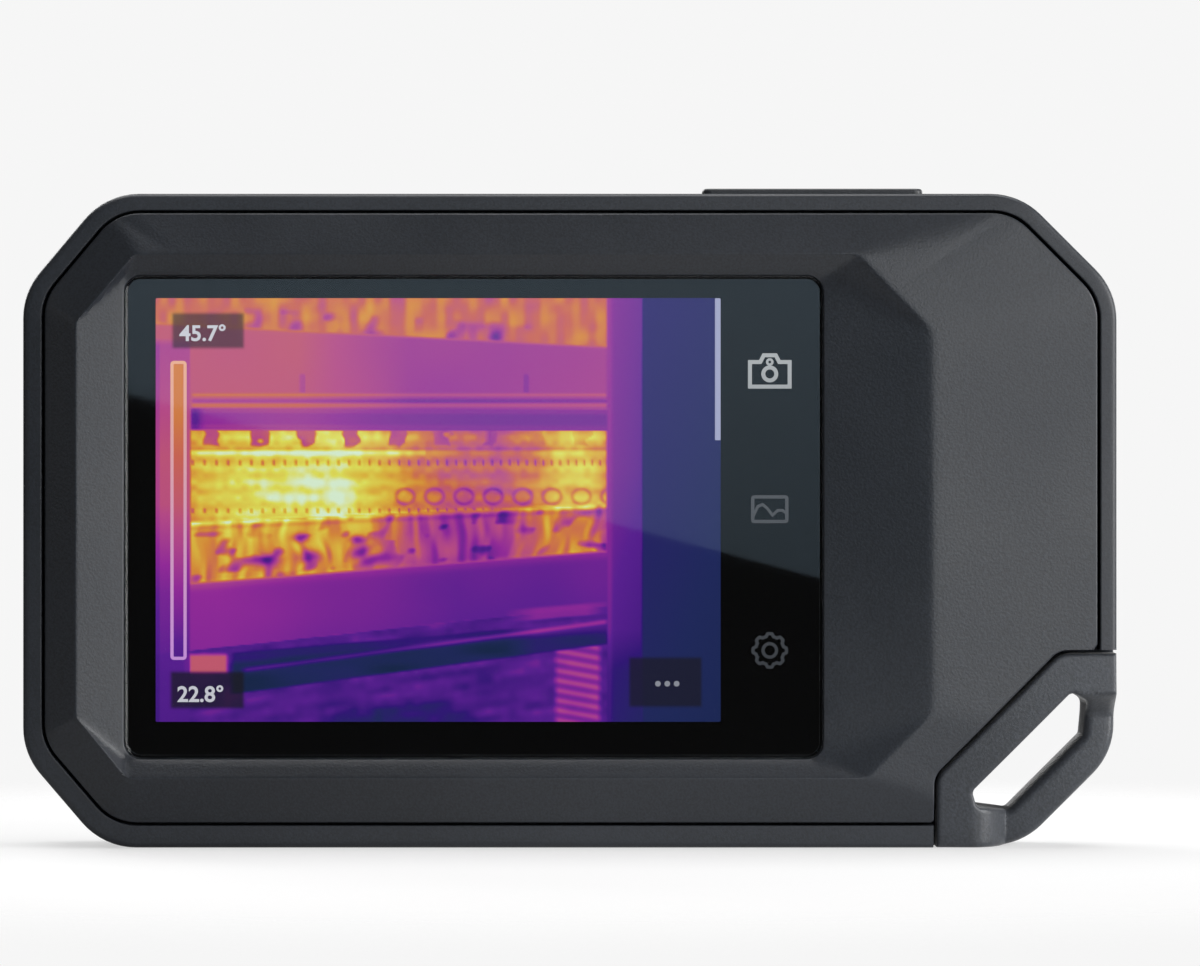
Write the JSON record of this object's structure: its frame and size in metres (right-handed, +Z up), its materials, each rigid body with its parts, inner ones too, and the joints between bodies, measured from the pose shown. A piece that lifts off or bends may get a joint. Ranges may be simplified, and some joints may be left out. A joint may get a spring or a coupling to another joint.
{
  "type": "thermal imaging camera",
  "caption": "Pocket thermal imaging camera with a chamfered case, touch display, lens cluster, top buttons, port flap, tripod socket and a soft lanyard corner.",
  "frame": {"origin": "middle of the bottom edge, on the surface that the camera stands on", "axes": "+X to the right as the user reads the display, +Y from the display side to the lens side, +Z up"},
  "size_m": [0.138, 0.024, 0.0834],
  "materials": {
    "case_plastic": "fine spark texture, charcoal",
    "soft_grip": "matt moulded elastomer",
    "silicone": "matt silicone",
    "cover_glass": "polished",
    "lcd": "lit panel showing a false-colour heat picture",
    "light_guide": "clear to milky moulding",
    "circuit_board": "solder-masked laminate",
    "chassis": "die-cast, satin",
    "chip_body": "moulded epoxy",
    "plated_steel": "tin plated",
    "flex_film": "polyimide film",
    "battery_foil": "laminated pouch",
    "wire_jacket": "smooth jacket",
    "gloss_bezel": "piano black",
    "anodised_ring": "black anodised",
    "germanium": "coated germanium",
    "sensor_lid": "gold-plated package",
    "shutter_black": "matt black",
    "led_chip": "phosphor",
    "button_plastic": "fine spark texture",
    "switch_plastic": "moulded",
    "brass_insert": "machined",
    "screw_steel": "black zinc"
  },
  "bodies": {
    "root": {"rear_cover": "case_plastic", "front_cover": "case_plastic", "lanyard_loop": "soft_grip", "case_seal": "silicone", "display_glass": "cover_glass", "display_gasket": "silicone", "lcd_panel": "lcd", "icon_light_guide": "light_guide", "icon_board": "circuit_board", "mid_frame": "chassis", "main_board": "circuit_board", "board_chips": "chip_body", "thermal_pad": "silicone", "shield_can": "plated_steel", "display_flex": "flex_film", "battery": "battery_foil", "battery_pad": "silicone", "battery_lead": "wire_jacket", "usb_receptacle": "plated_steel", "optics_bezel": "gloss_bezel", "lens_ring": "anodised_ring", "lens_barrel": "anodised_ring", "ir_lens": "germanium", "core_housing": "chassis", "sensor_package": "sensor_lid", "core_board": "circuit_board", "shutter_motor": "chip_body", "camera_module": "chip_body", "camera_flex": "flex_film", "camera_window": "cover_glass", "torch_led": "led_chip", "torch_lens": "light_guide", "save_switch": "plated_steel", "power_switch": "plated_steel", "button_board": "circuit_board", "tripod_insert": "brass_insert", "wifi_antenna": "flex_film", "antenna_cable": "wire_jacket", "case_screws": "screw_steel", "board_screws": "screw_steel", "frame_screws": "screw_steel"},
    "save_key": {"save_button": "button_plastic", "save_plunger": "switch_plastic"},
    "power_key": {"power_button": "button_plastic", "power_plunger": "switch_plastic"},
    "port_flap": {"usb_flap": "soft_grip"},
    "shutter": {"shutter_flag": "shutter_black"}
  },
  "joints": [
    {"name": "save_press", "type": "slide", "parent": "root", "child": "save_key", "axis": [0, 0, -1], "range_m": [0, 0.00045], "stiffness_N_per_m": 900, "springref_m": -0.0005},
    {"name": "power_press", "type": "slide", "parent": "root", "child": "power_key", "axis": [0, 0, -1], "range_m": [0, 0.00035], "stiffness_N_per_m": 900, "springref_m": -0.0005},
    {"name": "flap_hinge", "type": "hinge", "parent": "root", "child": "port_flap", "pos_m": [-0.069, 0.00045, 0.02575], "axis": [0, -1, 0], "range_deg": [0, 110]},
    {"name": "shutter_swing", "type": "hinge", "parent": "root", "child": "shutter", "pos_m": [-0.0453, 0.0039, 0.0467], "axis": [0, -1, 0], "range_deg": [0, 35]}
  ]
}
